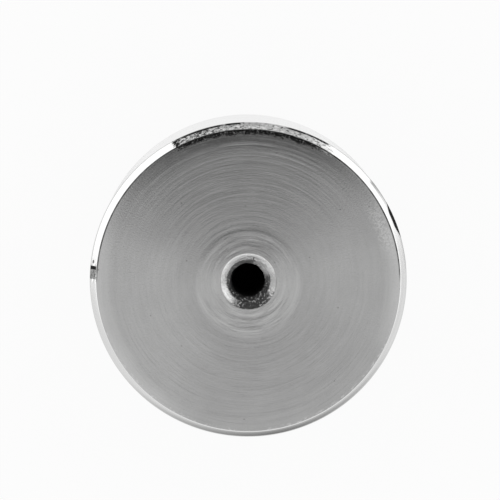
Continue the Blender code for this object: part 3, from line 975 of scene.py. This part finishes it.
def poured_height(rng, radius, angles):
    """Height of the poured surface, which faces down: lowest at both walls, with a few burst bubbles."""
    apart = np.minimum(radius - POUR_INNER, POUR_OUTER - radius)[:, None]
    height = 0.07 * MM + 0.1 * MM * (1 - np.exp(-apart / (0.45 * MM)))
    uneven = [wandering(rng, angles, 5) for _ in range(3)]
    share = ((radius - POUR_INNER) / (POUR_OUTER - POUR_INNER))[:, None]
    swell = sum(wave * np.sin((k + 1) * math.pi * share) for k, wave in enumerate(uneven))
    height = height + 4 * MICRON * swell
    across = radius[:, None] * np.cos(angles)
    along = radius[:, None] * np.sin(angles)
    for _ in range(BUBBLES):
        distance = rng.uniform(POUR_INNER + 1.0 * MM, POUR_OUTER - 1.0 * MM)
        turn = rng.uniform(0, 2 * math.pi)
        size = rng.uniform(0.16, 0.36) * MM
        off = np.hypot(across - distance * math.cos(turn), along - distance * math.sin(turn)) / size
        pit = 0.7 * size * np.sqrt(np.clip(1 - off**2, 0, None))
        height = height + pit - 0.05 * size * np.exp(-((off - 1.15) / 0.2) ** 2)
    return height


def make_resin(colour):
    """The cast resin: the CAD solid with its poured surface made anew in fine rings."""
    rng = np.random.default_rng(11)
    work = bmesh.new()
    work.from_mesh(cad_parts["potting_resin"].data)
    bmesh.ops.remove_doubles(work, verts=work.verts, dist=0.1 * MICRON)
    level = RESIN_LOW.z + MICRON
    flat = [face for face in work.faces if all(corner.co.z < level for corner in face.verts)]
    bmesh.ops.delete(work, geom=flat, context="FACES")
    for corner in work.verts:
        if corner.co.z < level:
            corner.co.z += 0.25 * MM
    old_edges = [edge for edge in work.edges if edge.is_boundary]
    angles = ring_angles(POUR_SEGMENTS)
    radii = np.linspace(POUR_OUTER, POUR_INNER, POUR_ROWS)
    heights = poured_height(rng, radii, angles)
    rings = [
        [work.verts.new((radius * math.cos(a), radius * math.sin(a), z)) for a, z in zip(angles, row)]
        for radius, row in zip(radii, heights)
    ]
    for ring, following in zip(rings, rings[1:]):
        for i in range(POUR_SEGMENTS):
            j = (i + 1) % POUR_SEGMENTS
            work.faces.new((ring[i], following[i], following[j], ring[j]))
    middle = (POUR_INNER + POUR_OUTER) / 2
    new_edges = [edge for edge in work.edges if edge.is_boundary and edge not in set(old_edges)]
    for side in (-1, 1):
        loops = [e for e in old_edges + new_edges if side * (e.verts[0].co.xy.length - middle) > 0]
        bmesh.ops.bridge_loops(work, edges=loops)
    mesh = bpy.data.meshes.new("cast_resin")
    work.to_mesh(mesh)
    work.free()
    mesh.materials.append(plain_material("cast_resin", colour, 0.2, 0.6 * MM, 4 * MICRON))
    new_piece("cast_resin", mesh, "black_epoxy", "potting_resin")


class MAGNET_OT_potting(bpy.types.Operator):
    """Make the cast resin and finish the bushing"""

    bl_idname = "magnet.potting"
    bl_label = "Potting and Bushing"

    def execute(self, context):
        finishes = context.scene.magnet_finishes
        make_resin(finishes.resin)
        rubber = plain_material("bush_rubber", finishes.rubber, 0.55, 0.05 * MM, 3 * MICRON)
        finish_node("lead_bushing", rubber)
        return {"FINISHED"}


class MAGNET_OT_coil(bpy.types.Operator):
    """Finish the bobbin, the winding, its tape and the sleeves"""

    bl_idname = "magnet.coil"
    bl_label = "Coil"

    def execute(self, context):
        finishes = context.scene.magnet_finishes
        finish_node("coil_bobbin", plain_material("bobbin_nylon", finishes.nylon, 0.45, 0.1 * MM, 3 * MICRON))
        finish_node("coil_winding", wound_wire(finishes.enamel))
        finish_node("winding_tape", lapped_tape(finishes.tape))
        shrink = plain_material("shrunk_tube", finishes.sleeve, 0.5, 0.1 * MM, 3 * MICRON)
        for name in ("start_splice_sleeve", "finish_splice_sleeve"):
            finish_node(name, shrink)
        return {"FINISHED"}


def make_camera(settings):
    """Camera over the back, with +Y at the top of its picture."""
    face = Vector((0, 0, POT_HEIGHT))
    tilt = settings.camera_tilt
    away = Vector((math.sin(settings.camera_side), math.sin(tilt), math.cos(tilt)))
    data = bpy.data.cameras.new("photo_camera")
    data.lens = settings.lens
    data.sensor_width = 36.0
    data.clip_start = 0.01
    camera = bpy.data.objects.new("photo_camera", data)
    bpy.context.scene.collection.objects.link(camera)
    camera.location = face + away.normalized() * settings.camera_distance
    look = (face + Vector(AIM) - camera.location).normalized()
    right = look.cross(Vector((0, 1, 0))).normalized()
    up = right.cross(look)
    camera.rotation_euler = Matrix((right, up, -look)).transposed().to_euler()
    bpy.context.scene.camera = camera


def make_floor():
    """White floor that keeps the magnet's soft shadow, and shows metal a soft grey patch on the -Y side."""
    mesh = bpy.data.meshes.new("floor")
    half = 4.0
    corners = [(-half, -half, 0), (half, -half, 0), (half, half, 0), (-half, half, 0)]
    mesh.from_pydata(corners, [], [(0, 1, 2, 3)])
    floor = bpy.data.objects.new("floor", mesh)
    floor.location.z = -0.02 * MM
    bpy.context.scene.collection.objects.link(floor)
    made, graph, surface = new_material("white_floor")
    tree = made.node_tree
    tree.nodes.remove(surface)
    x, y, _ = graph.apart(graph.node("ShaderNodeTexCoord").outputs["Object"])
    across = graph.times(graph.less(x, 0.022), 1 / 0.165)
    along = graph.times(graph.plus(y, 0.1), 1 / 0.25)
    reach = graph.math("SQRT", graph.scaled(across, across, graph.times(along, along)))
    grey = graph.most(graph.linear(reach, 0.0, 0.95, 0.03, 1.0), graph.smooth(y, -0.115, -0.085))
    path = graph.node("ShaderNodeLightPath").outputs
    camera = path["Is Camera Ray"]
    mirrored = graph.most(path["Is Glossy Ray"], path["Is Transmission Ray"])
    level = graph.most(camera, graph.times(grey, mirrored))
    share = graph.scaled(camera, 0.9, graph.times(mirrored, 0.83))
    plain = graph.node("ShaderNodeBsdfDiffuse", {"Color": (0.95, 0.95, 0.95, 1)}).outputs[0]
    bright = graph.node("ShaderNodeEmission", {"Color": (1, 1, 1, 1), "Strength": level}).outputs[0]
    both = graph.node("ShaderNodeMixShader", {0: share, 1: plain, 2: bright}).outputs[0]
    graph.fill(next(n for n in tree.nodes if n.type == "OUTPUT_MATERIAL"), {"Surface": both})
    mesh.materials.append(made)


def make_world(settings):
    """Soft sky: brighter low at both sides, dimmer overhead and low on the +Y side, dark behind the camera.

    The camera itself sees it white.
    """
    world = bpy.data.worlds.new("studio")
    world.use_nodes = True
    bpy.context.scene.world = world
    tree = world.node_tree
    graph = Graph(tree)
    x, y, z = graph.apart(graph.node("ShaderNodeTexCoord").outputs["Generated"])
    low = graph.smooth(z, 0.3, 0.12)
    from_far_side = graph.math("ABSOLUTE", graph.math("ARCTAN2", x, y))
    ring = graph.times(low, graph.smooth(from_far_side, 2.1, 1.6))
    sky = graph.between(ring, settings.sky_level, settings.horizon_level)
    sky = graph.between(graph.smooth(z, 0.551, 0.868), sky, settings.overhead_level)
    lean = math.radians(3.2)
    towards = graph.scaled(y, math.sin(lean), graph.times(z, math.cos(lean)))
    dark = graph.smooth(graph.math("ARCCOSINE", towards), math.radians(10.65), math.radians(6.3))
    sky = graph.between(dark, sky, settings.flag_level)
    dim = graph.times(low, graph.smooth(from_far_side, 0.6, 0.36))
    sky = graph.between(dim, sky, settings.dim_level)
    camera = graph.node("ShaderNodeLightPath").outputs["Is Camera Ray"]
    background = next(n for n in tree.nodes if n.type == "BACKGROUND")
    graph.fill(background, {"Color": (1, 1, 1, 1), "Strength": graph.between(camera, sky, 1.0)})


class MAGNET_OT_stage(bpy.types.Operator):
    """Set up the camera, the floor and the studio light"""

    bl_idname = "magnet.stage"
    bl_label = "Stage"

    def execute(self, context):
        settings = context.scene.magnet_stage
        make_camera(settings)
        make_floor()
        make_world(settings)
        context.scene.view_settings.view_transform = "Standard"
        return {"FINISHED"}


class MAGNET_PT_builder(bpy.types.Panel):
    """Sizes, colours and the steps that build the magnet"""

    bl_label = "Holding Electromagnet"
    bl_space_type = "VIEW_3D"
    bl_region_type = "UI"
    bl_category = "Magnet"

    def draw(self, context):
        for group in (context.scene.magnet_pot, context.scene.magnet_finishes, context.scene.magnet_stage):
            box = self.layout.box()
            for name in group.bl_rna.properties.keys():
                if name not in ("rna_type", "name"):
                    box.prop(group, name)
        for operator in STEPS:
            self.layout.operator(operator.bl_idname)


GROUPS = {"magnet_pot": PotSizes, "magnet_finishes": Finishes, "magnet_stage": StageSettings}
STEPS = (MAGNET_OT_turned_pot, MAGNET_OT_potting, MAGNET_OT_coil, MAGNET_OT_stage)


def register():
    for group in GROUPS.values():
        bpy.utils.register_class(group)
    for name, group in GROUPS.items():
        setattr(bpy.types.Scene, name, PointerProperty(type=group))
    for step in (*STEPS, MAGNET_PT_builder):
        bpy.utils.register_class(step)


def unregister():
    for step in (MAGNET_PT_builder, *reversed(STEPS)):
        bpy.utils.unregister_class(step)
    for name, group in GROUPS.items():
        delattr(bpy.types.Scene, name)
        bpy.utils.unregister_class(group)


def main():
    register()
    bpy.ops.magnet.turned_pot()
    bpy.ops.magnet.potting()
    bpy.ops.magnet.coil()
    bpy.ops.magnet.stage()


if __name__ == "__main__":
    main()
